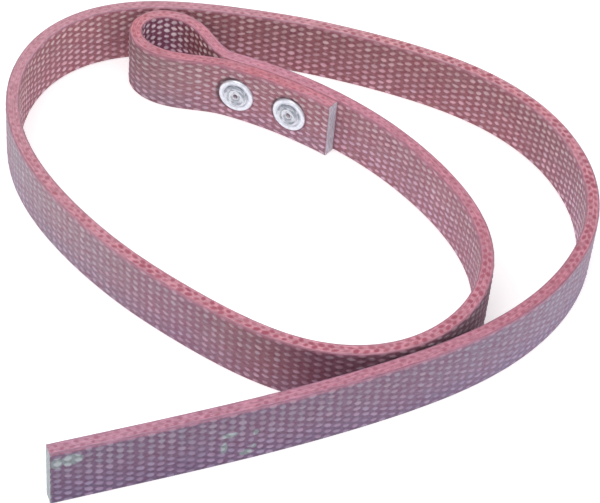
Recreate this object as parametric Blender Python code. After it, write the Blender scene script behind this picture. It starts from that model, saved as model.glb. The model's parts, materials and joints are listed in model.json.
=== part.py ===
"""A length of solid-woven belting, folded into a hanging eye at one end.

The strap stands on its long edge, coiled.  The fold is held by two tubular
rivets set over burrs.  Z is up, the lower edge lies in z = 0, and the bounds
of the strap in plan are centred on the Z axis.  The strap is made of solid
lengths joined at hinges, each on a vertical axis in the middle of its thickness.
"""
import math
from typing import NamedTuple

import bmesh
import bpy
from mathutils import Matrix, Vector

# ---- driving dimensions, metres and degrees ---------------------------------
WIDTH = 0.025            # strap width, which is its height as it stands
THICK = 0.0052           # strap thickness
GAP = 0.0003             # clearance between neighbouring solids
LEG_PITCH = THICK + GAP  # centre line to centre line of the doubled legs
CUP_R = THICK / 2 + GAP  # hollow end that a rounded end turns in

# Headings are anticlockwise from +X in plan.
STRAP_RUN = 0.9995       # centre line from the throat of the eye to the free end
HEADING_PITCH = 0.065    # spacing of the strap's headings, from the throat
STRAP_HEADINGS = (-16, -39, -68, -132, -199, -218, -239, -284, -350,
                  -369, -385, -426, -473, -503.5, -513.5, -516.5, -515)

EYE_RUN = 0.1064         # centre line round the eye, throat to throat
# Evenly spaced round the eye: it leaves along the short leg and closes on the long one.
EYE_HEADINGS = (STRAP_HEADINGS[0] + 180,
                176, 177, 165, 142, 108, 65, 21, -16, -43, -56, -49,
                STRAP_HEADINGS[0])

LEG = 0.0485             # doubled length that the rivets clamp
ROOT_TAIL = 0.010        # single strap carried past the fold's cut end
ROOT_END = LEG + ROOT_TAIL
INNER_END = 0.321        # where the inner turn ends and the outer one starts
INNER_BENDS = 5          # hinges of the inner turn, from the root's end
OUTER_BENDS = 10         # hinges of the outer turn, from where the inner one ends

RIVET_AT = (0.0047, 0.0297)  # from the throat, along the doubled length
HOLE_R = 0.0028          # hole through both legs
BURR_R = 0.0075
BURR_T = 0.0011
BURR_HOLE_R = 0.0029
SHANK_R = 0.0025
BORE_R = 0.0013
BORE_DEPTH = 0.0060      # from the set end to the foot of the bore's straight wall
BORE_CONE = 0.0006       # depth of the cone below that wall
FLARE_WIDTH = 0.0004     # bevel round the bore's mouth
FLARE_DEPTH = 0.0006
HEAD_R = 0.0072
HEAD_T = 0.0014
HEAD_SHOULDER_R = HEAD_R * 0.7   # where the head's shallow crown steepens
HEAD_SHOULDER_T = HEAD_T * 0.85  # height of that shoulder above the strap side
HEAD_SIDE_T = HEAD_T * 0.35      # straight side of the head, below its rounding
ROLL_R = 0.0050          # the set end, rolled over the burr
ROLL_T = 0.0009
RIM = 0.0004             # radius that softens a turned edge

# Heights along a rivet, from the middle of the gap between the legs.
STACK_HALF = LEG_PITCH / 2 + THICK / 2
BURR_BASE = STACK_HALF + GAP
ROLL_BASE = BURR_BASE + BURR_T + GAP
ROLL_TOP = ROLL_BASE + ROLL_T
HEAD_BASE = -STACK_HALF - GAP
HOLE_HALF = 2 * STACK_HALF       # cutter, well clear of both faces

# ---- mesh fineness ----------------------------------------------------------
FINE = 0.0005            # spacing of the stations that trace a centre line
STEP = 0.002             # spacing of the stations along a strap solid
END_STEPS = 12           # facets round a length's rounded or hollow end
ROUND_STEPS = 48         # facets round a rivet
RIM_STEPS = 3            # facets across a softened edge
SHARP_ANGLE = math.radians(30)


class Station(NamedTuple):
    """A point on a centre line, and its heading in radians."""
    x: float
    y: float
    heading: float


# ---- centre lines -----------------------------------------------------------
def index_at(distance):
    return round(distance / FINE)


def heading_at(table, pitch, distance):
    """Heading in radians, by a cubic through the table's headings."""
    last = len(table) - 1
    i = max(0, min(last - 1, int(distance / pitch)))

    def slope(k):
        before, after = max(0, k - 1), min(last, k + 1)
        return (table[after] - table[before]) / (after - before)

    u = distance / pitch - i
    return math.radians((2 * u ** 3 - 3 * u ** 2 + 1) * table[i]
                        + (u ** 3 - 2 * u ** 2 + u) * slope(i)
                        + (3 * u ** 2 - 2 * u ** 3) * table[i + 1]
                        + (u ** 3 - u ** 2) * slope(i + 1))


def trace(x, y, table, pitch, length):
    """Stations from (x, y), in equal steps of about FINE."""
    count = index_at(length)
    step = length / count
    stations = [Station(x, y, heading_at(table, pitch, 0.0))]
    for k in range(count):
        middle = heading_at(table, pitch, (k + 0.5) * step)
        x += step * math.cos(middle)
        y += step * math.sin(middle)
        stations.append(Station(x, y, heading_at(table, pitch, (k + 1) * step)))
    return stations


def offset(station, distance):
    """The point at a distance to the left of a station."""
    x, y, heading = station
    return Vector((x - distance * math.sin(heading), y + distance * math.cos(heading)))


def eye_line(strap):
    """Short leg from its cut end to the throat, then round the eye to just short of the strap."""
    leg = []
    for station in strap[index_at(LEG)::-1]:
        point = offset(station, -LEG_PITCH)
        leg.append(Station(point.x, point.y, station.heading + math.pi))

    loop = trace(leg[-1].x, leg[-1].y, EYE_HEADINGS,
                 EYE_RUN / (len(EYE_HEADINGS) - 1), EYE_RUN)
    # The loop closes on the long leg: its closing error is spread along it.
    error_x = strap[0].x - loop[-1].x
    error_y = strap[0].y - loop[-1].y
    last = len(loop) - 1
    loop = [Station(x + error_x * k / last, y + error_y * k / last, heading)
            for k, (x, y, heading) in enumerate(loop)]
    return leg + loop[1:-1]


def flanks(stations):
    """Left and right sides of a run of the strap."""
    return ([offset(station, THICK / 2) for station in stations],
            [offset(station, -THICK / 2) for station in stations])


def centred_lines():
    """Centre lines of the strap and the eye, centred together on the origin."""
    strap = trace(0.0, 0.0, STRAP_HEADINGS, HEADING_PITCH, STRAP_RUN)
    eye = eye_line(strap)
    left, right = flanks(eye + strap)
    xs = [point.x for point in left + right]
    ys = [point.y for point in left + right]
    middle = Vector(((min(xs) + max(xs)) / 2, (min(ys) + max(ys)) / 2))
    return [[Station(x - middle.x, y - middle.y, heading) for x, y, heading in line]
            for line in (strap, eye)]


def hinge_indices(strap):
    """Stations of the hinges: within each turn, equal bend between neighbours."""
    root_end, inner_end = index_at(ROOT_END), index_at(INNER_END)
    found = []
    for first, last, bends in ((root_end, inner_end, INNER_BENDS),
                               (inner_end, len(strap) - 1, OUTER_BENDS)):
        start = strap[first].heading
        bend = (start - strap[last].heading) / bends
        for n in range(bends):
            found.append(next(k for k in range(first, last)
                              if start - strap[k].heading >= bend * n))
    return found


# ---- materials and objects --------------------------------------------------
def material(name, colour, roughness, metallic):
    mat = bpy.data.materials.new(name)
    mat.use_nodes = True
    shader = mat.node_tree.nodes["Principled BSDF"]
    shader.inputs["Base Color"].default_value = (*colour, 1.0)
    shader.inputs["Roughness"].default_value = roughness
    shader.inputs["Metallic"].default_value = metallic
    mat.diffuse_color = (*colour, 1.0)
    return mat


def woven(name):
    return material(name + "_weave", colour=(0.42, 0.22, 0.27), roughness=0.85, metallic=0.0)


def metal(name):
    return material(name + "_metal", colour=(0.72, 0.74, 0.75), roughness=0.35, metallic=1.0)


def add_object(name, bm, mat):
    bmesh.ops.recalc_face_normals(bm, faces=bm.faces)
    mesh = bpy.data.meshes.new(name)
    bm.to_mesh(mesh)
    bm.free()
    mesh.materials.append(mat)
    mesh.shade_smooth()
    mesh.set_sharp_from_angle(angle=SHARP_ANGLE)
    obj = bpy.data.objects.new(name, mesh)
    bpy.context.collection.objects.link(obj)
    return obj


# ---- strap solids -----------------------------------------------------------
def arc_behind(station, radius, half_angle):
    """Arc behind a hinge axis, from the left side round to the right."""
    x, y, heading = station
    points = []
    for k in range(END_STEPS + 1):
        angle = heading + math.pi - half_angle + 2 * half_angle * k / END_STEPS
        points.append(Vector((x + radius * math.cos(angle), y + radius * math.sin(angle))))
    return points


def round_end(station):
    """Rounded end about a hinge axis, less the two points that the flanks supply."""
    return arc_behind(station, THICK / 2, math.pi / 2)[1:-1]


def cup_end(station):
    """Hollow end that the next length's rounded end turns in, horn to horn."""
    return arc_behind(station, CUP_R, math.asin((THICK / 2) / CUP_R))


def thin_out(stations):
    """Stations at about STEP, always keeping the first and last."""
    last = len(stations) - 1
    runs = round(last * FINE / STEP)
    return [stations[round(k * last / runs)] for k in range(runs + 1)]


def up_to_cup(stations):
    """A run's stations, less those that its hollow end takes away."""
    end = stations[-1]
    return [station for station in stations
            if math.hypot(station.x - end.x, station.y - end.y) > CUP_R]


def prism(name, outline, origin_x=0.0, origin_y=0.0):
    """The outline stood up to the strap's width, with its origin at a point."""
    bm = bmesh.new()
    face = bm.faces.new([bm.verts.new((point.x - origin_x, point.y - origin_y, 0.0))
                         for point in outline])
    top = bmesh.ops.extrude_face_region(bm, geom=[face])["geom"]
    bmesh.ops.translate(bm, vec=(0, 0, WIDTH),
                        verts=[v for v in top if isinstance(v, bmesh.types.BMVert)])
    obj = add_object(name, bm, woven(name))
    obj.location = (origin_x, origin_y, 0.0)
    return obj


def build_root(strap, eye, hinge):
    """Short leg, eye, long leg and a little of the single strap."""
    long_leg = up_to_cup(thin_out(strap[:hinge + 1]))
    left, right = flanks(thin_out(eye) + long_leg)
    return prism("strap_eye", left + cup_end(strap[hinge]) + right[::-1])


def build_free_strap(strap, hinges):
    """Lengths that each turn about a rounded end, in the hollow end before it."""
    free_end = len(strap) - 1
    for number, (first, last) in enumerate(zip(hinges, hinges[1:] + [free_end]), 1):
        run = thin_out(strap[first:last + 1])
        far_end = []
        if last != free_end:
            far_end = cup_end(strap[last])
            run = up_to_cup(run)
        left, right = flanks(run)
        hinge = strap[first]
        prism(f"strap_{number:02d}",
              left + far_end + right[::-1] + round_end(hinge)[::-1],
              hinge.x, hinge.y)


# ---- rivets -----------------------------------------------------------------
def turned(name, profile, frame, mat):
    """A (radius, height) profile turned about the frame's Z.

    A profile that starts off the axis is closed on itself; any other starts
    and ends on the axis.
    """
    def on_axis(radius):
        return radius < 1e-9

    bm = bmesh.new()
    rings = []
    for radius, z in profile:
        if on_axis(radius):
            rings.append([bm.verts.new((0.0, 0.0, z))])
            continue
        angles = [2 * math.pi * k / ROUND_STEPS for k in range(ROUND_STEPS)]
        rings.append([bm.verts.new((radius * math.cos(angle), radius * math.sin(angle), z))
                      for angle in angles])

    pairs = list(zip(rings, rings[1:]))
    if not on_axis(profile[0][0]):
        pairs.append((rings[-1], rings[0]))
    for lower, upper in pairs:
        for k in range(ROUND_STEPS):
            n = (k + 1) % ROUND_STEPS
            corners = [lower[k % len(lower)], lower[n % len(lower)],
                       upper[n % len(upper)], upper[k % len(upper)]]
            # A point on the axis comes up twice, and leaves a triangle.
            bm.faces.new(list(dict.fromkeys(corners)))
    obj = add_object(name, bm, mat)
    obj.matrix_world = frame
    return obj


def rounded(radius, z, way):
    """Rounding of an outer edge at z; way is +1 for an upper edge, -1 for a lower one."""
    points = []
    for k in range(RIM_STEPS + 1):
        angle = math.pi / 2 * k / RIM_STEPS
        points.append((radius - RIM + RIM * math.cos(angle),
                       z - way * (RIM - RIM * math.sin(angle))))
    return points if way > 0 else points[::-1]


def rivet_frame(station):
    """Frame midway between the legs, its Z pointing out through the short leg."""
    middle = offset(station, -LEG_PITCH / 2)
    out = Vector((math.sin(station.heading), -math.cos(station.heading), 0.0))
    up = Vector((0.0, 0.0, 1.0))
    frame = Matrix((up.cross(out), up, out)).transposed().to_4x4()
    frame.translation = (middle.x, middle.y, WIDTH / 2)
    return frame


def cut_hole(root, name, frame):
    """Hole through both legs, cut by a hidden cylinder."""
    profile = [(0, -HOLE_HALF), (HOLE_R, -HOLE_HALF), (HOLE_R, HOLE_HALF), (0, HOLE_HALF)]
    cutter = turned(name, profile, frame, woven(name))
    cutter.hide_render = True
    cutter.display_type = "WIRE"
    cut = root.modifiers.new(name, "BOOLEAN")
    cut.operation = "DIFFERENCE"
    cut.solver = "EXACT"
    cut.object = cutter


def build_burr(name, frame):
    """Washer on the outer face of the short leg."""
    top = BURR_BASE + BURR_T
    profile = [(BURR_HOLE_R, BURR_BASE), (BURR_R, BURR_BASE),
               *rounded(BURR_R, top, 1),
               (BURR_HOLE_R, top)]
    turned(name, profile, frame, metal(name))


def build_rivet(name, frame):
    """Head on the long leg, shank through both legs, and set end rolled over the burr."""
    bore_foot = ROLL_TOP - BORE_DEPTH
    head = [(0, HEAD_BASE - HEAD_T),
            (HEAD_SHOULDER_R, HEAD_BASE - HEAD_SHOULDER_T),
            *rounded(HEAD_R, HEAD_BASE - HEAD_SIDE_T - RIM, -1),
            (HEAD_R, HEAD_BASE)]
    shank = [(SHANK_R, HEAD_BASE), (SHANK_R, ROLL_BASE)]
    roll = [(ROLL_R, ROLL_BASE), *rounded(ROLL_R, ROLL_TOP, 1)]
    bore = [(BORE_R + FLARE_WIDTH, ROLL_TOP),
            (BORE_R, ROLL_TOP - FLARE_DEPTH),
            (BORE_R, bore_foot),
            (0, bore_foot - BORE_CONE)]
    turned(name, head + shank + roll + bore, frame, metal(name))


# ---- build ------------------------------------------------------------------
def clear_scene():
    for obj in list(bpy.data.objects):
        bpy.data.objects.remove(obj, do_unlink=True)


def build():
    clear_scene()
    strap, eye = centred_lines()
    hinges = hinge_indices(strap)
    root = build_root(strap, eye, hinges[0])
    build_free_strap(strap, hinges)
    for number, distance in enumerate(RIVET_AT, 1):
        frame = rivet_frame(strap[index_at(distance)])
        cut_hole(root, f"hole_{number}", frame)
        build_burr(f"burr_{number}", frame)
        build_rivet(f"rivet_{number}", frame)


build()
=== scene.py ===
import json
import math

import bpy
import numpy as np
from mathutils import Matrix, Vector

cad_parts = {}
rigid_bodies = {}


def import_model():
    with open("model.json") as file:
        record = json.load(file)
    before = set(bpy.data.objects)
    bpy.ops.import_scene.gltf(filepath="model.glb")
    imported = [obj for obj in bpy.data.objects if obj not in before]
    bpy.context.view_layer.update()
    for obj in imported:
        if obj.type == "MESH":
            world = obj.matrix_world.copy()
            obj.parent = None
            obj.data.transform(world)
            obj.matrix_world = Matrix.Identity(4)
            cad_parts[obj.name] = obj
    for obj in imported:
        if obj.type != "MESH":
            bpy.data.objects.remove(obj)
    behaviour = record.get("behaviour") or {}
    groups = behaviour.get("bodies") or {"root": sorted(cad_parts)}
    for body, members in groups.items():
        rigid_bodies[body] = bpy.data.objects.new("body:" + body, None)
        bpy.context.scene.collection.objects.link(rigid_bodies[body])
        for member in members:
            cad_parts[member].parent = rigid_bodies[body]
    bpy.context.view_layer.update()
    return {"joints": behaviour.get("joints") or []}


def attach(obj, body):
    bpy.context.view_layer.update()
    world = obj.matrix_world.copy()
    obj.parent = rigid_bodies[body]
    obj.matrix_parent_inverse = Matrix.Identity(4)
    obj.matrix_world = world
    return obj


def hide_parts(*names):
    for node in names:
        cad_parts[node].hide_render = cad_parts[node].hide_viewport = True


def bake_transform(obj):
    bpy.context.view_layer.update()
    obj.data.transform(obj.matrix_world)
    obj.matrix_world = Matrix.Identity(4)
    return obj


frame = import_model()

# ---- the strap, as in the CAD (metres, degrees) -----------------------------
WIDTH = 0.025
THICK = 0.0052
GAP = 0.0003
PITCH = THICK + GAP
STRAP_RUN = 0.9995
RUN = 0.065
HEADING = (-16, -39, -68, -132, -199, -218, -239, -284, -350,
           -369, -385, -426, -473, -503.5, -513.5, -516.5, -515)
EYE_RUN = 0.1064
EYE_HEADING = (176, 177, 165, 142, 108, 65, 21, -16, -43, -56, -49)
LEG = 0.0485
RIVET_AT = (0.0047, 0.0297)
FINE = 0.0005

# ---- the weave ---------------------------------------------------------------
COLUMN = 0.0036          # knuckle columns along the strap
ROW = 0.0029             # knuckle rows across it
RINGS_PER_COLUMN = 10
KNUCKLE_A = 0.00146      # half length of a knuckle, along the strap
KNUCKLE_B = 0.00080      # half height
RELIEF = 0.00028         # knuckle top above the ground
SINK = 0.00015           # ground below the nominal face
CORNER = 0.00045         # rounding of the strap's long edges
CELL = 0.00036           # vertex spacing across the strap

BURR_R = 0.0075
STACK = PITCH / 2 + THICK / 2


# ---- centre line -------------------------------------------------------------
def heading_at(table, pitch, s):
    last = len(table) - 1
    i = max(0, min(last - 1, int(s / pitch)))

    def slope(k):
        a, b = max(0, k - 1), min(last, k + 1)
        return (table[b] - table[a]) / (b - a)

    u = s / pitch - i
    return ((2 * u ** 3 - 3 * u ** 2 + 1) * table[i]
            + (u ** 3 - 2 * u ** 2 + u) * slope(i)
            + (3 * u ** 2 - 2 * u ** 3) * table[i + 1]
            + (u ** 3 - u ** 2) * slope(i + 1))


def trace(start, table, pitch, length, count):
    step = length / count
    x, y = start
    out = [(x, y, math.radians(heading_at(table, pitch, 0.0)))]
    for k in range(count):
        a = math.radians(heading_at(table, pitch, (k + 0.5) * step))
        x += step * math.cos(a)
        y += step * math.sin(a)
        out.append((x, y, math.radians(heading_at(table, pitch, (k + 1) * step))))
    return out


def centre_line():
    """(eye part, main part) as arrays of x, y, heading."""
    main = np.array(trace((0.0, 0.0), HEADING, RUN, STRAP_RUN, round(STRAP_RUN / FINE)))
    n = round(LEG / FINE)
    leg = main[n::-1].copy()
    leg[:, 0] += PITCH * np.sin(leg[:, 2])
    leg[:, 1] -= PITCH * np.cos(leg[:, 2])
    leg[:, 2] += math.pi
    table = (HEADING[0] + 180,) + EYE_HEADING + (HEADING[0],)
    loop = np.array(trace(tuple(leg[-1, :2]), table, EYE_RUN / (len(table) - 1),
                          EYE_RUN, round(EYE_RUN / FINE)))
    share = np.linspace(0, 1, len(loop))[:, None]
    loop[:, :2] += (main[0, :2] - loop[-1, :2]) * share
    eye = np.vstack([leg, loop[1:-1]])
    both = np.vstack([eye, main])
    side = np.c_[-np.sin(both[:, 2]), np.cos(both[:, 2])] * THICK / 2
    hull = np.vstack([both[:, :2] + side, both[:, :2] - side])
    shift = (hull.max(0) + hull.min(0)) / 2
    eye[:, :2] -= shift
    main[:, :2] -= shift
    return eye, main


EYE, MAIN = centre_line()
LINE = np.vstack([EYE, MAIN])[:, :2]
ALONG = np.concatenate([[0.0], np.cumsum(np.hypot(*np.diff(LINE, axis=0).T))])
THROAT = ALONG[len(EYE)]             # arc length at the long leg's throat
TOTAL = ALONG[-1]
_t = np.gradient(LINE, ALONG, axis=0)
_k = np.ones(9) / 9
_t = np.c_[[np.convolve(np.pad(_t[:, i], 4, mode="edge"), _k, "valid") for i in (0, 1)]].T
_t /= np.linalg.norm(_t, axis=1)[:, None]


def place(u):
    """Centre points and left normals at arc lengths u."""
    x, y = np.interp(u, ALONG, LINE[:, 0]), np.interp(u, ALONG, LINE[:, 1])
    tx, ty = np.interp(u, ALONG, _t[:, 0]), np.interp(u, ALONG, _t[:, 1])
    r = np.hypot(tx, ty)
    return x, y, -ty / r, tx / r


# ---- repeatable randomness ---------------------------------------------------
def rnd(*keys):
    """A number in [0, 1) for each set of whole-number keys, always the same."""
    keys = np.broadcast_arrays(*[np.asarray(k) for k in keys])
    h = np.full(keys[0].shape, 1469598103934665603, np.uint64)
    for k in keys:
        h = (h ^ k.astype(np.int64).astype(np.uint64)) * np.uint64(1099511628211)
        h ^= h >> np.uint64(31)
    h *= np.uint64(0x9E3779B97F4A7C15)
    h ^= h >> np.uint64(29)
    return (h >> np.uint64(11)).astype(float) / float(1 << 53)


def noise(x, y, seed):
    """Smooth noise in [0, 1], one cell per unit."""
    xi, yi = np.floor(x), np.floor(y)
    fx, fy = x - xi, y - yi
    fx, fy = fx * fx * (3 - 2 * fx), fy * fy * (3 - 2 * fy)
    a, b = rnd(xi, yi, seed), rnd(xi + 1, yi, seed)
    c, d = rnd(xi, yi + 1, seed), rnd(xi + 1, yi + 1, seed)
    return (a * (1 - fx) + b * fx) * (1 - fy) + (c * (1 - fx) + d * fx) * fy


def step_up(lo, hi, x):
    t = np.clip((x - lo) / (hi - lo), 0, 1)
    return t * t * (3 - 2 * t)


# ---- relief -------------------------------------------------------------------
# where the outer face's weave lies flatter, as stations from the throat and a share
FLAT_RUNS = ((0.23, 0.28, 0.42, 0.47, 0.70, 0.76, 0.84, 0.90), (0.0, 1.0, 1.0, 0.0, 0.0, 1.0, 1.0, 0.0))


def clamped(u, side):
    """1 where this face presses on the other leg, else 0. side is +1 left, -1 right."""
    if side > 0:
        return np.zeros_like(u)
    s = u - THROAT
    short = 1 - step_up(LEG + 0.003, LEG + 0.008, u)
    long = step_up(-0.008, -0.003, s) * (1 - step_up(LEG - 0.0004, LEG + 0.0006, s))
    return np.maximum(short, long)


def rivet_distance(u, z, side):
    """Distance to the nearest rivet axis, over the two faces that the rivets clamp."""
    best = np.full(np.broadcast(u, z).shape, 1.0)
    if side < 0:
        return best
    for at in RIVET_AT:
        for centre in (LEG - at, THROAT + at):
            best = np.minimum(best, np.hypot(u - centre, z - WIDTH / 2))
    return best


def face(u, z, side):
    """(height, knuckle mask, knuckle tone, painted shade: dark creases beside the knuckles and a contact shadow round
    each burr) of a woven face.
    """
    seed = 11 if side > 0 else 23
    c = np.floor(u / COLUMN)
    odd = np.mod(c + (0 if side > 0 else 1), 2)
    r = np.round((z - WIDTH / 2) / ROW - 0.5 * odd)
    cu = (c + 0.5) * COLUMN + (rnd(c, r, seed) - 0.5) * 0.00026
    cz = WIDTH / 2 + (r + 0.5 * odd) * ROW + (rnd(c, r, seed + 1) - 0.5) * 0.00034
    cz = cz + (rnd(c, seed + 7) - 0.5) * 0.00026
    a = KNUCKLE_A * (0.82 + 0.32 * rnd(c, r, seed + 2))
    b = KNUCKLE_B * (0.82 + 0.36 * rnd(c, r, seed + 3))
    lean = (rnd(c, r, seed + 4) - 0.5) * 0.34 + 0.08
    x, y = u - cu, z - cz
    y = y - lean * x + 0.00010 * (noise(u / 0.0009, z / 0.0007, seed + 12) - 0.5)
    # the free end is rubbed: fuller knuckles that nearly meet up and down
    free = step_up(0.83, 0.92, u - THROAT) if side > 0 else 0.0
    fold = 1 - step_up(0.10, 0.16, u) if side > 0 else 0.0
    # the weave lies flatter along two runs of the outer face
    flat = np.interp(u - THROAT, FLAT_RUNS[0], FLAT_RUNS[1]) if side > 0 else 0.0
    a = a * (1 + 0.07 * fold - 0.12 * flat)
    b = b * (1 + 0.16 * free - 0.12 * fold)
    t = (np.abs(x) / a) ** (2.0 + 0.5 * free) + (np.abs(y) / b) ** 1.9
    # two plies show as a shallow groove along each knuckle
    dome = np.clip(1 - t, 0, None) ** 0.65
    ply = 1 - 0.10 * np.exp(-(y / (0.22 * b)) ** 2)
    high = RELIEF * (0.78 + 0.44 * rnd(c, r, seed + 5)) * (1 - 0.35 * flat)
    rib = 0.5 - 0.5 * np.cos(2 * math.pi * u / COLUMN)
    ground = (0.00005 * (noise(u / 0.0006, z / 0.0011, seed + 8) - 0.5)
              + 0.00003 * np.cos(2 * math.pi * z / (ROW / 2)) + 0.00006 * rib)
    # faint grooves above and below each knuckle; the same lines are painted shade, dark creases where shade falls
    # beside the knuckle
    line = (np.exp(-((np.abs(y) / b - 1.30) / 0.28) ** 2)
            * (1 - step_up(0.6, 1.15, np.abs(x) / a)) * (0.4 + 0.6 * rnd(c, r, seed + 13)))
    h = -SINK + ground + high * dome * ply - 0.00005 * line
    # slow unevenness of a hand-used belt
    h = h + 0.00014 * (noise(u / 0.019, z / 0.011, seed + 9) - 0.5)
    rim = step_up(0.0, 0.0012, np.minimum(z, WIDTH - z))
    h = h * rim - 0.00002 * (1 - rim)
    mask = np.maximum(step_up(1.6, 0.10, t), (0.30 + 0.34 * free * step_up(0.004, 0.016, z)) * rib ** 2)
    tone = 0.68 * rnd(c, r, seed + 6) + 0.32 * rnd(c, seed + 14)
    press = clamped(u, side)
    h = h * (1 - press) + 0.00013 * press
    d = rivet_distance(u, z, side)
    under = 1 - step_up(BURR_R - 0.0004, BURR_R + 0.0016, d)
    h = h * (1 - under) - 0.00022 * under
    # painted shade: the crease lines beside the knuckles, and a painted contact shadow round each burr
    shade = np.maximum(0.62 * line * (1 - 0.45 * flat), 1.0 * (1 - step_up(BURR_R + 0.0001, BURR_R + 0.0012, d)))
    return h, mask, tone, shade


# where the yarn ends show most, as stations from the throat and a share
DOT_SWELL = ((0.10, 0.17, 0.33, 0.42, 0.56, 0.61, 0.76, 0.82), (0.0, 1.0, 1.0, 0.1, 0.1, 1.0, 1.0, 0.3))


def edge(u, d, top):
    """(height, yarn-end mask, rim mask) of a cut long edge."""
    seed = 41 if top else 57
    streak = noise(u / 0.0042, d / 0.00032, seed) - 0.5
    h = 0.00006 * streak + 0.00008 * (noise(u / 0.013, d / 0.004, seed + 1) - 0.5)
    dots = np.zeros(np.broadcast(u, d).shape)
    for k, at in enumerate((-0.00088, 0.00088)):
        c = np.floor(u / COLUMN + 0.5 * k)
        cu = (c + 0.5 - 0.5 * k) * COLUMN + (rnd(c, k, seed + 2) - 0.5) * 0.0006
        cd = at + (rnd(c, k, seed + 3) - 0.5) * 0.0004
        swell = 1.06 + 0.42 * np.interp(u - THROAT, DOT_SWELL[0], DOT_SWELL[1])
        a = 0.00084 * (0.70 + 0.55 * rnd(c, k, seed + 4)) * swell
        b = 0.00060 * (0.70 + 0.55 * rnd(c, k, seed + 5)) * swell
        x = u - cu
        y = d - cd - (0.25 if k else -0.10) * x
        t = (x / a) ** 2 + (y / b) ** 2
        dots = np.maximum(dots, step_up(1.9, 0.10, t) * (0.50 + 0.50 * rnd(c, k, seed + 6)))
    h = h - 0.00007 * dots
    rim = step_up(THICK / 2 - 0.00085, THICK / 2 - 0.00040, np.abs(d))
    rim = rim * (0.45 + 0.55 * noise(u / 0.0017, np.sign(d) * 3 + 7.5 + 0 * u, seed + 7))
    rim = rim * (1 - np.where(d < 0, clamped(u + 0 * d, -1), 0.0))
    return h, dots, rim


# ---- section round the strap -------------------------------------------------
def section():
    """d, z, outward normal and kind for one ring: left side up, top, right side down, bottom."""
    n = round((WIDTH - 2 * CORNER) / CELL)
    arc = [math.pi / 2 * k / 3 for k in range(4)]
    side = []
    for a in arc[:-1]:                              # bottom corner, from below round to the face
        b = math.pi / 2 - a
        side.append((THICK / 2 - CORNER + CORNER * math.cos(b),
                     CORNER - CORNER * math.sin(b), math.cos(b), -math.sin(b)))
    for k in range(n + 1):
        side.append((THICK / 2, CORNER + (WIDTH - 2 * CORNER) * k / n, 1.0, 0.0))
    for a in arc[1:]:
        side.append((THICK / 2 - CORNER + CORNER * math.cos(a),
                     WIDTH - CORNER + CORNER * math.sin(a), math.cos(a), math.sin(a)))
    m = round((THICK - 2 * CORNER) / CELL)
    flat = [(THICK / 2 - CORNER) - (THICK - 2 * CORNER) * k / m for k in range(1, m)]
    ring = list(side)
    ring += [(d, WIDTH, 0.0, 1.0) for d in flat]
    ring += [(-d, z, -nd, nz) for d, z, nd, nz in reversed(side)]
    ring += [(-d, 0.0, 0.0, -1.0) for d in flat]
    return np.array(ring), len(side), len(flat)


RING, SIDE_N, FLAT_N = section()


def strap_surface(u):
    """Points (rings x ring length x 3) and the fields that the finish reads."""
    D, Z, ND, NZ = RING.T
    U = u[:, None]
    x, y, nx, ny = (v[:, None] for v in place(u))
    shape = (len(u), len(D))
    h = np.zeros(shape)
    fields = {k: np.zeros(shape) for k in ("knuckle", "tone", "dots", "rim", "edge", "outer", "shade")}
    zf = np.clip(Z, 0.0, WIDTH)
    for sign in (1, -1):
        cols = np.where(ND * sign > 0.05)[0]
        w = np.abs(ND[cols])[None, :] ** 1.5
        fh, mask, tone, shade = face(U, zf[cols][None, :], sign)
        h[:, cols] += fh * w
        fields["knuckle"][:, cols] = mask * w
        fields["tone"][:, cols] = tone
        fields["shade"][:, cols] = shade * w
        fields["outer"][:, cols] = 1.0 if sign > 0 else 0.0
    for top in (True, False):
        cols = np.where((NZ > 0.05) if top else (NZ < -0.05))[0]
        w = np.abs(NZ[cols])[None, :] ** 1.5
        eh, dots, rim = edge(U, D[cols][None, :], top)
        h[:, cols] += eh * w
        fields["dots"][:, cols] = dots * w
        fields["rim"][:, cols] = rim
        fields["edge"][:, cols] = np.maximum(fields["edge"][:, cols], step_up(0.35, 0.8, w))
        flat = np.where(np.abs(ND[cols]) < 0.05)[0]
        fields["outer"][:, cols[flat]] = step_up(-0.001, 0.001, D[cols][flat])[None, :]
    # the strap's own slight waver in height
    lift = 0.00018 * (noise(U / 0.045, 0 * U + 3.5, 71) - 0.5)
    d = D[None, :] + ND[None, :] * h
    z = Z[None, :] + NZ[None, :] * h + lift * (Z[None, :] / WIDTH)
    pts = np.stack([x + nx * d, y + ny * d, np.maximum(z, 0.0)], axis=2)
    fields["strap"] = np.stack([U + 0 * d, D[None, :] + 0 * d, Z[None, :] + 0 * d], axis=2)
    return pts, fields


# ---- colour along the strap ---------------------------------------------------
def lin(rgb):
    c = np.asarray(rgb, float) / 255
    return np.where(c <= 0.04045, c / 12.92, ((c + 0.055) / 1.055) ** 2.4)


# The face tables are matched to the belt as this scene lights it, so beside the belt's own colour they carry some
# painted light and shade.
# stations in metres from the throat on the long leg: (station, ground, knuckle)
OUTER_TINT = (
    (-0.155, (150, 106, 118), (204, 174, 186)), (-0.110, (150, 106, 118), (204, 172, 184)),
    (-0.080, (140, 107, 117), (188, 160, 168)), (-0.020, (132, 94, 106), (190, 160, 170)),
    (0.190, (136, 104, 120), (176, 152, 166)), (0.245, (112, 66, 86), (160, 124, 142)),
    (0.262, (130, 90, 104), (179, 147, 160)), (0.280, (138, 100, 114), (177, 151, 165)),
    (0.300, (138, 101, 120), (175, 149, 164)), (0.330, (141, 112, 126), (177, 152, 166)),
    (0.370, (146, 124, 137), (180, 160, 172)), (0.400, (150, 133, 147), (186, 167, 180)),
    (0.460, (153, 128, 142), (178, 158, 169)), (0.690, (150, 126, 140), (179, 155, 168)),
    (0.800, (142, 122, 143), (162, 150, 169)), (0.850, (126, 104, 127), (156, 138, 158)),
    (0.890, (120, 95, 119), (156, 137, 155)), (0.930, (112, 88, 114), (149, 130, 151)),
    (1.000, (104, 83, 110), (141, 125, 148)))
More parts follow.
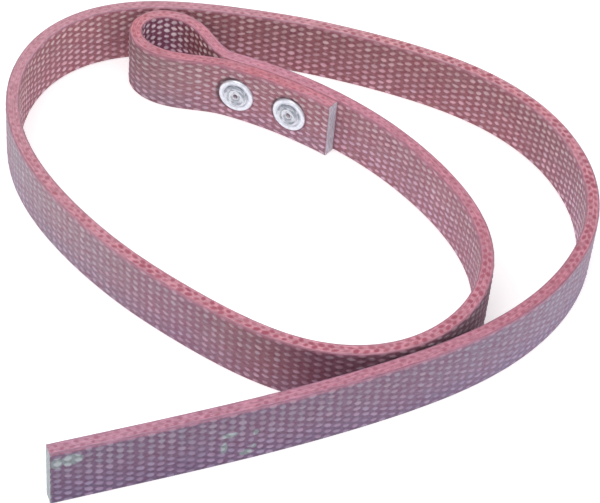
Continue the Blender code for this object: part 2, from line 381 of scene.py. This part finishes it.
# painted light: the eye's inner face (stations -0.100 to -0.022) and the inner face near station 0.480, which the eye
# shades, are painted lighter to offset the shade that falls there
INNER_TINT = (
    (-0.155, (104, 60, 74), (196, 160, 174)), (-0.100, (110, 60, 90), (240, 212, 228)),
    (-0.042, (136, 80, 108), (250, 230, 241)), (-0.022, (128, 72, 82), (244, 206, 212)),
    (0.050, (148, 102, 114), (203, 164, 177)), (0.110, (155, 113, 128), (207, 175, 190)),
    (0.200, (150, 104, 118), (202, 166, 180)), (0.400, (150, 102, 114), (214, 176, 184)),
    (0.480, (156, 105, 116), (226, 187, 194)), (0.580, (142, 90, 99), (209, 166, 174)),
    (0.650, (148, 97, 107), (208, 169, 177)), (0.700, (147, 100, 112), (214, 177, 185)),
    (0.740, (160, 116, 134), (228, 204, 216)), (1.000, (140, 94, 110), (200, 168, 182)))
# the same along the cut edges: (station, body, yarn ends, reddening)
EDGE_TINT = (
    (-0.155, (196, 136, 152), (172, 96, 112), (0.7,)), (-0.090, (192, 127, 141), (168, 90, 106), (0.8,)),
    (-0.050, (196, 137, 149), (168, 92, 108), (0.7,)), (0.000, (199, 139, 158), (178, 106, 126), (0.3,)),
    (0.090, (191, 130, 147), (168, 98, 116), (0.2,)), (0.180, (193, 132, 148), (152, 70, 90), (0.3,)),
    (0.260, (199, 142, 157), (152, 70, 90), (0.3,)),
    (0.320, (200, 141, 155), (154, 74, 94), (0.3,)), (0.400, (193, 140, 154), (168, 104, 120), (0.2,)),
    (0.450, (194, 144, 158), (178, 118, 134), (0.1,)),
    (0.550, (196, 145, 159), (172, 108, 124), (0.2,)), (0.620, (209, 157, 166), (156, 78, 94), (0.5,)),
    (0.680, (205, 151, 163), (152, 70, 88), (0.5,)), (0.750, (194, 137, 151), (150, 70, 90), (0.4,)),
    (0.800, (184, 121, 138), (156, 84, 104), (0.3,)), (0.880, (186, 127, 147), (160, 92, 114), (0.2,)),
    (1.000, (184, 136, 156), (158, 98, 122), (0.1,)))
CUT_TINT = ((206, 206, 218), (164, 172, 176))        # fold's end, free end


def tint(u, table, column):
    s = u - THROAT
    at = [row[0] for row in table]
    return np.stack([np.interp(s, at, [lin(row[column])[i] for row in table])
                     for i in range(3)], axis=-1)


def reddening(u):
    return np.interp(u - THROAT, [row[0] for row in EDGE_TINT], [row[3][0] for row in EDGE_TINT])


WORN = ((0.9920, 0.0203, 0.0044, 0.0029), (0.9972, 0.0198, 0.0024, 0.0029),
        (0.9366, 0.0144, 0.0034, 0.0014), (0.9384, 0.0085, 0.0014, 0.0034),
        (0.9270, 0.0130, 0.0012, 0.0016), (0.9302, 0.0038, 0.0026, 0.0016),
        (0.9275, 0.0062, 0.0012, 0.0012))


def worn(u, z, outer):
    """Where the coating is rubbed to grey: the cut corner of the free end and two spots on the tail."""
    s = u - THROAT
    out = np.zeros(np.broadcast(s, z).shape)
    for k, (cs, cz, a, b) in enumerate(WORN):
        t = ((s - cs) / a) ** 2 + ((z - cz) / b) ** 2
        out = np.maximum(out, step_up(1.5, 0.2, t))
    ends = step_up(STRAP_RUN - 0.0016, STRAP_RUN - 0.0003, s)
    ends = np.maximum(ends, step_up(0.0011, 0.0002, u))
    low = step_up(0.0011, 0.0003, z) * step_up(0.80, 0.86, s)
    return np.maximum(out * outer, np.maximum(ends * 0.45, low * 0.55 * outer))


# ---- meshes --------------------------------------------------------------------
def new_mesh(name, verts, quads, tris=None):
    mesh = bpy.data.meshes.new(name)
    faces = [quads.reshape(-1)]
    sizes = [np.full(len(quads), 4)]
    if tris is not None and len(tris):
        faces.append(tris.reshape(-1))
        sizes.append(np.full(len(tris), 3))
    loops = np.concatenate(faces).astype(np.int32)
    totals = np.concatenate(sizes)
    starts = np.concatenate([[0], np.cumsum(totals)[:-1]]).astype(np.int32)
    mesh.vertices.add(len(verts))
    mesh.vertices.foreach_set("co", verts.astype(np.float32).ravel())
    mesh.loops.add(len(loops))
    mesh.loops.foreach_set("vertex_index", loops)
    mesh.polygons.add(len(totals))
    mesh.polygons.foreach_set("loop_start", starts)
    mesh.polygons.foreach_set("use_smooth", np.ones(len(totals), bool))
    mesh.update(calc_edges=True)
    mesh.validate()
    obj = bpy.data.objects.new(name, mesh)
    bpy.context.scene.collection.objects.link(obj)
    return obj


def put(mesh, name, values, kind="FLOAT"):
    a = mesh.attributes.new(name, kind, "POINT")
    a.data.foreach_set("vector" if kind == "FLOAT_VECTOR" else "color" if kind == "FLOAT_COLOR" else "value",
                       np.ascontiguousarray(values, np.float32).ravel())


def cap_grid(pts, fields, k, real):
    """Vertices (levels x across) that close ring k, and their fields."""
    m = FLAT_N + 2
    left = np.arange(SIDE_N)
    right = SIDE_N + FLAT_N + np.arange(SIDE_N)[::-1]
    f = np.linspace(0, 1, m)[None, :, None]
    grid = pts[k][left][:, None, :] * (1 - f) + pts[k][right][:, None, :] * f
    grid[-1, 1:-1] = pts[k][SIDE_N:SIDE_N + FLAT_N]
    grid[0, 1:-1] = pts[k][2 * SIDE_N + FLAT_N:][::-1]
    strap = fields["strap"][k]
    sg = strap[left][:, None, :] * (1 - f) + strap[right][:, None, :] * f
    return grid, sg


def strap_piece(name, pts, fields, first, last, ends):
    """The surface between two rings, closed at both ends. ends says which caps show: (first, last)."""
    n, m = last - first + 1, len(RING)
    P = pts[first:last + 1]
    verts = [P.reshape(-1, 3)]
    i = np.arange(n - 1)[:, None] * m
    j = np.arange(m)[None, :]
    jn = (j + 1) % m
    quads = [np.stack([i + j, i + jn, i + m + jn, i + m + j], axis=2).reshape(-1, 4)]
    data = {k: [fields[k][first:last + 1].reshape(-1)] for k in
            ("knuckle", "tone", "dots", "rim", "edge", "outer", "wear", "shade")}
    data["cut"] = [np.zeros(n * m)]
    vec = [fields["strap"][first:last + 1].reshape(-1, 3)]
    base = n * m
    for at, flip, shows in ((first, False, ends[0]), (last, True, ends[1])):
        grid, sg = cap_grid(pts, fields, at, shows)
        rows, cols = grid.shape[:2]
        if shows:
            # the saw leaves the end face slightly torn
            x, y, nx, ny = place(np.array([fields["strap"][at][0, 0]]))
            t = np.array([ny[0], -nx[0], 0.0]) * (1 if flip else -1)
            rough = 0.00016 * (noise(sg[..., 1] / 0.0005, sg[..., 2] / 0.0006, 91) - 0.5)
            rough += 0.00022 * (noise(sg[..., 1] / 0.0016, sg[..., 2] / 0.0030, 92) - 0.5)
            rough[0], rough[-1], rough[:, 0], rough[:, -1] = 0, 0, 0, 0
            grid = grid + rough[..., None] * t
        verts.append(grid.reshape(-1, 3))
        vec.append(sg.reshape(-1, 3))
        a = base + np.arange(rows - 1)[:, None] * cols + np.arange(cols - 1)[None, :]
        q = np.stack([a, a + 1, a + cols + 1, a + cols], axis=2).reshape(-1, 4)
        quads.append(q[:, ::-1] if flip else q)
        size = rows * cols
        for key in data:
            data[key].append(np.full(size, 1.0 if key == "cut" else 0.0))
        base += size
    V = np.vstack(verts)
    obj = new_mesh(name, V, np.vstack(quads))
    mesh = obj.data
    for key, parts in data.items():
        put(mesh, key, np.concatenate(parts))
    S = np.vstack(vec)
    put(mesh, "strap", S, "FLOAT_VECTOR")
    outer = np.concatenate(data["outer"])[:, None]
    side = np.concatenate(data["edge"])[:, None]
    put(mesh, "red", reddening(S[:, 0]))
    cap = np.concatenate(data["cut"]) > 0.5
    for key, column in (("ground", 1), ("lift", 2)):
        rgb = tint(S[:, 0], OUTER_TINT, column) * outer + tint(S[:, 0], INNER_TINT, column) * (1 - outer)
        rgb = rgb * (1 - side) + tint(S[:, 0], EDGE_TINT, column) * side
        rgb[cap] = lin(CUT_TINT[int(S[0, 0] > TOTAL / 2)])
        put(mesh, key, np.c_[rgb, np.ones(len(rgb))], "FLOAT_COLOR")
    return obj


# ---- node helpers ---------------------------------------------------------------
class Nodes:
    """Short-hand for building a shader."""

    def __init__(self, name):
        self.mat = bpy.data.materials.new(name)
        self.mat.use_nodes = True
        self.tree = self.mat.node_tree
        self.out = self.tree.nodes["Principled BSDF"]

    def add(self, kind, **settings):
        node = self.tree.nodes.new(kind)
        for k, v in settings.items():
            setattr(node, k, v)
        return node

    def wire(self, value, socket):
        if isinstance(value, bpy.types.NodeSocket):
            self.tree.links.new(value, socket)
        elif value is not None:
            socket.default_value = value

    def attr(self, name, out="Fac"):
        node = self.add("ShaderNodeAttribute", attribute_name=name, attribute_type="GEOMETRY")
        return node.outputs[out]

    def math(self, op, a, b=None, clamp=False):
        node = self.add("ShaderNodeMath", operation=op, use_clamp=clamp)
        self.wire(a, node.inputs[0])
        self.wire(b, node.inputs[1])
        return node.outputs[0]

    def span(self, x, lo, hi, a=0.0, b=1.0, smooth=True):
        node = self.add("ShaderNodeMapRange",
                        interpolation_type="SMOOTHSTEP" if smooth else "LINEAR")
        self.wire(x, node.inputs["Value"])
        for k, v in (("From Min", lo), ("From Max", hi), ("To Min", a), ("To Max", b)):
            self.wire(v, node.inputs[k])
        return node.outputs["Result"]

    def scaled(self, vector, by):
        node = self.add("ShaderNodeVectorMath", operation="MULTIPLY")
        self.wire(vector, node.inputs[0])
        node.inputs[1].default_value = by
        return node.outputs[0]

    def noise(self, vector, by, detail=3.0, rough=0.55, distortion=0.0):
        node = self.add("ShaderNodeTexNoise")
        self.wire(self.scaled(vector, by), node.inputs["Vector"])
        node.inputs["Scale"].default_value = 1.0
        node.inputs["Detail"].default_value = detail
        node.inputs["Roughness"].default_value = rough
        node.inputs["Distortion"].default_value = distortion
        return node.outputs["Fac"]

    def mix(self, share, a, b, blend="MIX"):
        node = self.add("ShaderNodeMix", data_type="RGBA", blend_type=blend, clamp_factor=True)
        self.wire(share, node.inputs["Factor"])
        self.wire(a, node.inputs["A"] if False else node.inputs[6])
        self.wire(b, node.inputs[7])
        return node.outputs[2]

    def times(self, colour, value):
        """Colour times a grey value."""
        node = self.add("ShaderNodeVectorMath", operation="SCALE")
        self.wire(colour, node.inputs[0])
        self.wire(value, node.inputs["Scale"])
        return node.outputs[0]

    def bump(self, height, strength, distance, normal=None):
        node = self.add("ShaderNodeBump")
        node.inputs["Strength"].default_value = strength
        node.inputs["Distance"].default_value = distance
        self.wire(height, node.inputs["Height"])
        if normal is not None:
            self.wire(normal, node.inputs["Normal"])
        return node.outputs["Normal"]


def rgba(r, g, b):
    return (*[float(x) for x in lin((r, g, b))], 1.0)


def woven_material():
    n = Nodes("woven_belting")
    strap = n.attr("strap", "Vector")
    knuckle, tone = n.attr("knuckle"), n.attr("tone")
    edge_, dots, rim = n.attr("edge"), n.attr("dots"), n.attr("rim")
    cut, wear, outer = n.attr("cut"), n.attr("wear"), n.attr("outer")
    shade, red = n.attr("shade"), n.attr("red")
    ground, lift = n.attr("ground", "Color"), n.attr("lift", "Color")
    parts = n.add("ShaderNodeSeparateXYZ")
    n.wire(strap, parts.inputs[0])
    height = parts.outputs[2]

    grain = n.noise(strap, (2600, 2600, 2600), 2.0)            # coating grain, 0.4 mm
    fibre = n.noise(strap, (500, 4200, 4200), 2.0)             # fibres, along the strap
    blotch = n.noise(strap, (190, 220, 190), 3.0)              # 5 mm patches
    broad = n.noise(strap, (32, 60, 40), 2.0)                  # 30 mm drift

    # knuckles: worn pale, each with its own tone and hue, with ragged outlines
    torn = n.noise(strap, (800, 1300, 1300), 2.0)              # breaks up the outlines
    ragged = n.math("ADD", knuckle, n.math("MULTIPLY", n.math("SUBTRACT", grain, 0.5), 0.34))
    ragged = n.math("ADD", ragged, n.math("MULTIPLY", n.math("SUBTRACT", torn, 0.5), 0.62))
    raised = n.span(ragged, 0.04, 0.98)
    pale = n.span(tone, 0.1, 0.9, 0.50, 1.15, False)
    pale = n.math("MULTIPLY", pale, n.span(blotch, 0.25, 0.75, 0.72, 1.16))
    share = n.math("MULTIPLY", raised, pale, clamp=True)
    hue = n.math("FRACT", n.math("MULTIPLY", tone, 7.31))
    # the ground drifts between brown and mauve, and is darker and bluer towards the bottom of the outer face
    base = n.mix(n.math("MULTIPLY", n.span(broad, 0.38, 0.66), 0.5), ground, n.scaled(ground, (1.10, 0.94, 0.92)))
    low = n.math("MULTIPLY", n.math("MULTIPLY", outer, 0.38), n.span(height, 0.0120, 0.0020))
    base = n.mix(low, base, n.scaled(base, (0.78, 0.88, 1.06)))
    fleck = n.noise(strap, (520, 950, 950), 2.0)
    base = n.mix(n.span(fleck, 0.52, 0.66, 0.0, 0.8), base, n.scaled(base, (1.08, 1.26, 1.16)))
    base = n.mix(n.span(fleck, 0.47, 0.35, 0.0, 0.8), base, n.scaled(base, (0.92, 0.70, 0.76)))
    base = n.times(base, n.span(fibre, 0.25, 0.75, 0.86, 1.14))
    lift = n.mix(n.span(height, 0.0060, 0.0200), n.scaled(lift, (1.00, 0.95, 1.05)), n.scaled(lift, (0.96, 1.02, 0.97)))
    cool = n.mix(n.span(hue, 0.55, 0.85, 0.0, 0.50), lift, n.scaled(lift, (0.87, 0.98, 1.00)))
    warm = n.mix(n.span(hue, 0.35, 0.15, 0.0, 0.55), cool, n.scaled(cool, (1.06, 0.93, 0.95)))
    top = n.times(warm, n.span(fibre, 0.3, 0.7, 0.92, 1.07))
    woven = n.mix(share, base, top)
    # the pink body shows through along the top of the faces
    woven = n.mix(n.span(n.math("ADD", height, n.math("MULTIPLY", torn, 0.0012)), 0.0238, 0.0256, 0.0, 0.55), woven, rgba(186, 122, 142))

    # cut long edges: pink body, reddened patches, streaks along the warp, dark yarn ends
    streak = n.noise(strap, (260, 2900, 2900), 2.5, 0.6, 0.6)
    body = n.times(ground, n.span(streak, 0.32, 0.70, 0.72, 1.17))
    body = n.times(body, n.span(torn, 0.30, 0.70, 0.92, 1.07))
    patch = n.math("MULTIPLY", n.span(n.noise(strap, (90, 260, 20), 2.5), 0.42, 0.62), red)
    body = n.mix(n.math("MULTIPLY", patch, 0.9), body, n.scaled(body, (1.06, 0.82, 0.80)))
    ends = n.math("MULTIPLY", n.span(n.math("ADD", dots, n.math("MULTIPLY", n.math("SUBTRACT", grain, 0.5), 0.7)), 0.02, 1.0), 0.92)
    body = n.mix(ends, body, lift)
    body = n.mix(n.math("MULTIPLY", rim, 0.85), body, n.scaled(body, (0.50, 0.62, 0.70)))
    colour = n.mix(edge_, woven, body)

    # rubbed grey coating
    patchy = n.math("SUBTRACT", n.noise(strap, (700, 900, 900), 3.0), 0.5)
    rubbed = n.span(n.math("ADD", wear, n.math("MULTIPLY", patchy, 0.9)), 0.25, 0.85)
    rubbed = n.math("MULTIPLY", rubbed, n.span(wear, 0.02, 0.30))
    coat = n.mix(raised, rgba(126, 138, 140), rgba(162, 172, 175))
    colour = n.mix(n.math("MULTIPLY", rubbed, 0.80), colour, coat)
    # painted shade: the crease lines beside the knuckles and the contact shadows round the burrs darken the colour
    colour = n.times(colour, n.span(shade, 0.0, 1.0, 1.0, 0.42, False))

    # end faces
    layers = n.noise(strap, (100, 2300, 420), 2.0, 0.6, 0.5)
    end = n.times(ground, n.span(layers, 0.35, 0.68, 0.72, 1.15))
    end = n.mix(n.math("MULTIPLY", n.span(n.noise(strap, (100, 700, 500), 2.0), 0.54, 0.68), 0.35), end, rgba(178, 124, 144))
    colour = n.mix(cut, colour, end)

    n.wire(colour, n.out.inputs["Base Color"])
    rough = n.span(raised, 0.0, 1.0, 0.76, 0.60, False)
    rough = n.math("ADD", rough, n.math("MULTIPLY", n.math("SUBTRACT", grain, 0.5), 0.16))
    n.wire(rough, n.out.inputs["Roughness"])
    n.out.inputs["Specular IOR Level"].default_value = 0.32
    fine = n.math("ADD", n.math("MULTIPLY", grain, 0.5), n.math("MULTIPLY", fibre, 0.8))
    n.wire(n.bump(fine, 0.35, 0.00012), n.out.inputs["Normal"])
    return n.mat


def metal_material():
    n = Nodes("rivet_metal")
    lathe = n.attr("lathe", "Vector")          # x, y in the disc's plane, radius
    radius = n.add("ShaderNodeSeparateXYZ")
    n.wire(lathe, radius.inputs[0])
    dirt, pit = n.attr("dirt"), n.attr("pit")
    turn = n.add("ShaderNodeCombineXYZ")
    n.wire(n.math("MULTIPLY", radius.outputs[2], 1250.0), turn.inputs[0])
    n.wire(n.math("MULTIPLY", radius.outputs[0], 230.0), turn.inputs[1])
    n.wire(n.math("MULTIPLY", radius.outputs[1], 230.0), turn.inputs[2])
    arcs = n.noise(turn.outputs[0], (1, 1, 1), 3.0, 0.6, 0.6)      # broken arcs left by the setting tool
    swirl = n.noise(turn.outputs[0], (3, 2, 2), 2.0)
    spots = n.noise(lathe, (620, 620, 0), 3.0, 0.6)
    fine = n.noise(lathe, (3200, 3200, 0), 2.0)
    clean = n.mix(n.span(spots, 0.35, 0.70), rgba(226, 229, 238), rgba(206, 211, 222))
    worked = n.math("ADD", n.math("MULTIPLY", arcs, 0.75), n.math("MULTIPLY", spots, 0.25))
    disc = n.mix(n.span(worked, 0.40, 0.60), rgba(124, 132, 144), rgba(222, 226, 234))
    grime = n.math("MULTIPLY", dirt, 1.0, clamp=True)
    colour = n.mix(grime, clean, disc)
    colour = n.mix(n.math("MULTIPLY", pit, n.span(fine, 0.30, 0.60, 0.35, 0.80)), colour, rgba(122, 84, 98))
    n.wire(colour, n.out.inputs["Base Color"])
    n.wire(n.span(n.math("MAXIMUM", grime, pit), 0.0, 0.9, 0.85, 0.35, False), n.out.inputs["Metallic"])
    n.wire(n.math("ADD", n.span(spots, 0.3, 0.7, 0.30, 0.46), n.math("MULTIPLY", grime, 0.25)), n.out.inputs["Roughness"])
    tall = n.math("ADD", n.math("MULTIPLY", swirl, 1.0), n.math("MULTIPLY", fine, 0.5))
    n.wire(n.bump(tall, 0.30, 0.00010), n.out.inputs["Normal"])
    return n.mat


# ---- rivets ----------------------------------------------------------------------
TURN = 144


def smooth_profile(points, step=0.00018):
    """More points along a (radius, height) profile, with its corners softened."""
    p = np.array(points, float)
    for _ in range(2):
        q = [p[0]]
        for a, b in zip(p[:-1], p[1:]):
            q += [a * 0.75 + b * 0.25, a * 0.25 + b * 0.75]
        q.append(p[-1])
        p = np.array(q)
    run = np.concatenate([[0], np.cumsum(np.hypot(*np.diff(p, axis=0).T))])
    t = np.linspace(0, run[-1], max(6, int(run[-1] / step)))
    return np.c_[np.interp(t, run, p[:, 0]), np.interp(t, run, p[:, 1])]


def turned(name, points, frame_, seed, dent, material, dirt_at, lumps=()):
    """A profile turned about the frame's Z, from axis to axis or closed, with worked-metal unevenness."""
    prof = smooth_profile(points)
    closed = prof[0, 0] > 1e-6
    r = np.maximum(prof[:, 0], 1e-6)[:, None]
    h = prof[:, 1][:, None]
    a = (np.arange(TURN) * 2 * math.pi / TURN)[None, :]
    x, y = np.cos(a), np.sin(a)
    wob = noise(x * 2.2 + 7 + 0 * r, y * 2.2 + r / 0.0011, seed) - 0.5
    small = noise(x * r / 0.0005 + 40, y * r / 0.0005 + 40, seed + 1) - 0.5
    h = h + dent * (1.0 * wob + 0.45 * small) * np.clip(r / 0.002, 0, 1)
    rr = r * (1 + 0.008 * (noise(x * 1.5 + 5, y * 1.5 + 5, seed + 2) - 0.5))
    X, Y = rr * x, rr * y
    for lx, ly, lr, lh in lumps:
        h = h + lh * np.exp(-((X - lx) ** 2 + (Y - ly) ** 2) / lr ** 2)
    pts = np.stack([X, Y, h + 0 * X], axis=2).reshape(-1, 3)
    rows = len(prof)
    i = np.arange(rows if closed else rows - 1)[:, None]
    j = np.arange(TURN)[None, :]
    nx = (i + 1) % rows
    jn = (j + 1) % TURN
    quads = np.stack([i * TURN + j, i * TURN + jn, nx * TURN + jn, nx * TURN + j], axis=2).reshape(-1, 4)
    tris = None
    if not closed:
        verts = np.vstack([pts, [[0, 0, prof[0, 1]], [0, 0, prof[-1, 1]]]])
        a0, a1 = len(pts), len(pts) + 1
        jj = np.arange(TURN)
        jj2 = (jj + 1) % TURN
        last = (rows - 1) * TURN
        tris = np.vstack([np.c_[np.full(TURN, a0), jj2, jj],
                          np.c_[np.full(TURN, a1), last + jj, last + jj2]])
    else:
        verts = pts
    m = np.array(frame_)
    world = verts @ m[:3, :3].T + m[:3, 3]
    obj = new_mesh(name, world, quads, tris)
    flat = verts[:, :2]
    rad = np.hypot(flat[:, 0], flat[:, 1])
    put(obj.data, "lathe", np.c_[flat, rad], "FLOAT_VECTOR")
    dirt, pit = dirt_at(rad, verts[:, 2])
    put(obj.data, "dirt", dirt)
    put(obj.data, "pit", pit)
    obj.data.materials.append(material)
    obj.data.set_sharp_from_angle(angle=math.radians(60))
    return obj


def outward(obj):
    """Turns faces outward if the closed mesh is inside out."""
    me = obj.data
    me.calc_loop_triangles()
    v = np.array([p.co for p in me.vertices])
    t = np.array([lt.vertices for lt in me.loop_triangles])
    a, b, c = v[t[:, 0]], v[t[:, 1]], v[t[:, 2]]
    if np.einsum("ij,ij->i", a - v.mean(0), np.cross(b - v.mean(0), c - v.mean(0))).sum() < 0:
        me.flip_normals()
    return obj


def rivets(metal):
    made = []
    for k, s in enumerate(RIVET_AT, 1):
        x, y, a = MAIN[round(s / FINE)]
        mid = Vector((x + PITCH / 2 * math.sin(a), y - PITCH / 2 * math.cos(a), WIDTH / 2))
        out = Vector((math.sin(a), -math.cos(a), 0.0))
        up = Vector((0, 0, 1))
        frame_ = Matrix((out.cross(up) * -1, up, out)).transposed().to_4x4()
        frame_.translation = mid
        z0 = STACK - 0.00030                      # pressed a little into the belt
        # burr: flat ring with a rounded rim and a slight dish
        burr = [(0.0027, z0), (0.0070, z0), (BURR_R - 0.0001, z0 + 0.0001), (BURR_R, z0 + 0.0005),
                (BURR_R - 0.00025, z0 + 0.00105), (0.0069, z0 + 0.00125), (0.0060, z0 + 0.00118),
                (0.0050, z0 + 0.00105), (0.0035, z0 + 0.00100), (0.0027, z0 + 0.00100)]
        o = outward(turned(f"burr_{k}_look", burr, frame_, 300 + 10 * k, 0.00005, metal,
                           lambda r, z: (step_up(0.0060, 0.0051, r) * 0.85 + step_up(0.0072, 0.0075, r) * 0.25, 0 * r)))
        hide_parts(f"burr_{k}")
        made.append(o)
        z1 = z0 + 0.00100
        # set end: rolled lip with rings left by the setting tool, and the tube's mouth
        if k == 1:
            top = [(0.00485, z1 - 0.00005), (0.00500, z1 + 0.00025), (0.00480, z1 + 0.00062), (0.00430, z1 + 0.00074),
                   (0.00395, z1 + 0.00058), (0.00350, z1 + 0.00076), (0.00305, z1 + 0.00064), (0.00260, z1 + 0.00080),
                   (0.00215, z1 + 0.00066), (0.00170, z1 + 0.00078), (0.00125, z1 + 0.00058),
                   (0.00085, z1 + 0.00028), (0.00060, z1 - 0.0004), (0.0, z1 - 0.0006)]
        else:
            top = [(0.00475, z1 - 0.00005), (0.00490, z1 + 0.00024), (0.00465, z1 + 0.00058), (0.00420, z1 + 0.00066),
                   (0.00370, z1 + 0.00028), (0.00335, z1 + 0.00026), (0.00300, z1 + 0.00070), (0.00245, z1 + 0.00086),
                   (0.00190, z1 + 0.00080), (0.00140, z1 + 0.00062), (0.00105, z1 + 0.00030),
                   (0.00080, z1 - 0.0003), (0.0, z1 - 0.0005)]
        b0 = -STACK + 0.00025
        tube = [(0.0, b0 - 0.00155), (0.0030, b0 - 0.00150), (0.0056, b0 - 0.00110), (0.0068, b0 - 0.00055),
                (0.0072, b0 - 0.00015), (0.0071, b0), (0.0068, b0 + 0.00005), (0.0025, b0 + 0.00005),
                (0.0025, b0 + 0.0004), (0.0025, z1 - 0.0002), (0.0026, z1 - 0.00005)] + top
        lumps = ((0.0016, 0.0020, 0.0009, 0.00010), (-0.0022, -0.0012, 0.0011, -0.00010)) if k == 1 else \
                ((0.0030, -0.0028, 0.0006, -0.00038), (-0.0016, -0.0014, 0.0009, 0.00014))
        o = outward(turned(f"rivet_{k}_look", tube, frame_, 340 + 10 * k, 0.00007, metal,
                           lambda r, z, z1=z1: (np.clip(step_up(0.0060, 0.0050, r) * (z > 0) * 0.85
                                                        + (z < z1) * (z > -STACK) * 0.6 + (z < -STACK) * 0.22, 0, 1),
                                                step_up(0.0015, 0.0006, r) * (z > 0)), lumps))
        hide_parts(f"rivet_{k}")
        made.append(o)
    for o in made:
        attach(o, "eye_end")
    return made


def build_strap(material):
    rings = int(TOTAL / (COLUMN / RINGS_PER_COLUMN))
    u = np.arange(rings + 1) * COLUMN / RINGS_PER_COLUMN
    u[-1] = TOTAL
    pts, fields = strap_surface(u)
    S = fields["strap"]
    fields["wear"] = worn(S[..., 0], S[..., 2], fields["outer"])

    def ring_at(where):
        """The ring in the valley between columns nearest to an arc length."""
        return int(round(where / COLUMN)) * RINGS_PER_COLUMN

    joints = sorted(frame["joints"], key=lambda j: j["name"])
    at = []
    for j in joints:
        p = np.array(j["pos_m"][:2])
        k = int(np.argmin(np.hypot(*(MAIN[:, :2] - p).T)))
        at.append(THROAT + k * FINE)
    at.append(TOTAL)
    bounds = [ring_at(THROAT + LEG + 0.004)]
    bounds += [ring_at((a + b) / 2) for a, b in zip(at[:-1], at[1:])]
    runs = [("eye", 0, bounds[0], None)]
    for k, j in enumerate(joints):
        runs.append((f"{k + 1:02d}", bounds[k], bounds[k + 1], (j["parent"], j["child"])))
    runs.append(("end", bounds[-1], rings, None))
    made = []
    for tag, first, last, pair in runs:
        length = (last - first) * COLUMN / RINGS_PER_COLUMN
        parts = max(1, math.ceil(length / 0.062))
        cuts = [first + int(round((last - first) / RINGS_PER_COLUMN * p / parts)) * RINGS_PER_COLUMN
                for p in range(parts)] + [last]
        for p, (a, b) in enumerate(zip(cuts[:-1], cuts[1:])):
            name = f"strap_{tag}_look" + (f"_{p + 1}" if parts > 1 else "")
            o = strap_piece(name, pts, fields, a, b, (a == 0, b == rings))
            o.data.materials.append(material)
            if pair:
                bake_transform(o)
                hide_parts(f"strap_{tag}")
            elif tag == "eye":
                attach(o, "eye_end")
                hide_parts("strap_eye")
            else:
                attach(o, joints[-1]["child"])
                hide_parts("strap_" + joints[-1]["child"][-2:])
            made.append(o)
    return made


# ---- stage, light and camera ----------------------------------------------------------
def floor():
    mesh = bpy.data.meshes.new("floor")
    r = 3.0
    mesh.from_pydata([(-r, -r, -0.0002), (r, -r, -0.0002), (r, r, -0.0002), (-r, r, -0.0002)], [], [(0, 1, 2, 3)])
    obj = bpy.data.objects.new("floor", mesh)
    bpy.context.scene.collection.objects.link(obj)
    n = Nodes("floor_paper")
    where = n.add("ShaderNodeTexCoord").outputs["Object"]
    tone = n.span(n.noise(where, (3, 3, 3), 2.0), 0.3, 0.7, 0.985, 1.0)
    colour = n.times((0.86, 0.86, 0.86), tone)
    n.wire(colour, n.out.inputs["Base Color"])
    n.out.inputs["Roughness"].default_value = 0.95
    n.out.inputs["Specular IOR Level"].default_value = 0.1
    n.wire(colour, n.out.inputs["Emission Color"])
    n.out.inputs["Emission Strength"].default_value = 0.50
    mesh.materials.append(n.mat)
    return obj


def area(name, place_, aim, size, power, colour=(1, 1, 1)):
    light = bpy.data.lights.new(name, "AREA")
    light.shape = "DISK"
    light.size = size
    light.energy = power
    light.color = colour
    obj = bpy.data.objects.new(name, light)
    obj.location = place_
    obj.rotation_euler = (Vector(aim) - Vector(place_)).to_track_quat("-Z", "Y").to_euler()
    bpy.context.scene.collection.objects.link(obj)
    return obj


def studio():
    world = bpy.data.worlds.new("studio")
    bpy.context.scene.world = world
    world.use_nodes = True
    back = world.node_tree.nodes["Background"]
    back.inputs["Color"].default_value = (1.0, 1.0, 1.0, 1.0)
    back.inputs["Strength"].default_value = 0.62
    area("key", (-0.55, -0.75, 1.15), (0, 0, 0), 0.9, 8.5, (1.0, 0.985, 0.97))
    area("fill", (0.95, -0.35, 0.85), (0, 0, 0), 0.8, 3.2, (0.97, 0.98, 1.0))
    area("top", (0.05, 0.25, 1.35), (0, 0, 0), 0.9, 3.0)
    view = bpy.context.scene.view_settings
    view.view_transform = "Standard"
    view.look = "None"
    view.exposure = 0.0
    view.gamma = 1.0


def camera():
    data = bpy.data.cameras.new("camera")
    data.sensor_width = 36.0
    data.sensor_fit = "HORIZONTAL"
    data.lens = 128.75
    data.clip_start, data.clip_end = 0.01, 20.0
    obj = bpy.data.objects.new("camera", data)
    tilt = math.radians(90 - 43.18)
    obj.matrix_world = (Matrix.Translation((0.004428, -0.588985, 0.56104))
                        @ Matrix.Rotation(tilt, 4, "X") @ Matrix.Rotation(math.radians(5.45), 4, "Z"))
    bpy.context.scene.collection.objects.link(obj)
    bpy.context.scene.camera = obj


woven = woven_material()
metal = metal_material()
build_strap(woven)
rivets(metal)
floor()
studio()
camera()
